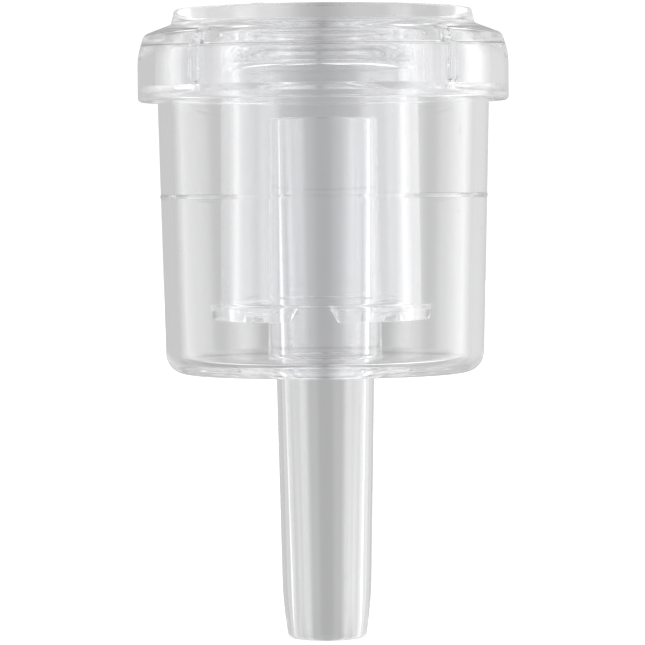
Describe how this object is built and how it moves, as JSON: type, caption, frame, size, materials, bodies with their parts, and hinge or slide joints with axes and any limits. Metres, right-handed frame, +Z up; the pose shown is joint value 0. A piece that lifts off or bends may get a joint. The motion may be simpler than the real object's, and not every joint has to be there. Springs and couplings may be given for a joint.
{
  "type": "fermentation airlock",
  "caption": "Clear round bubbler airlock: a cup with a tapered stem below and a riser tube inside, an inverted cup floating over the riser, and a vented push-on lid.",
  "frame": {"origin": "on the axis, at the flat underside of the cup, where the stem begins", "axes": "+Z up along the axis, from the stem towards the lid; -Y is the side that the picture looks at"},
  "size_m": [0.04, 0.04, 0.0681],
  "materials": {
    "body_clear": "clear, glossy as moulded",
    "float_clear": "clear, glossy as moulded",
    "lid_clear": "clear, glossy as moulded"
  },
  "bodies": {
    "body": {"body": "body_clear"},
    "float": {"float": "float_clear"},
    "lid": {"lid": "lid_clear"}
  },
  "joints": [
    {"name": "float_rise", "type": "slide", "parent": "body", "child": "float", "axis": [0, 0, 1], "range_m": [-0.0042, 0.0026]},
    {"name": "lid_lift", "type": "slide", "parent": "body", "child": "lid", "axis": [0, 0, 1], "range_m": [0, 0.02]}
  ]
}
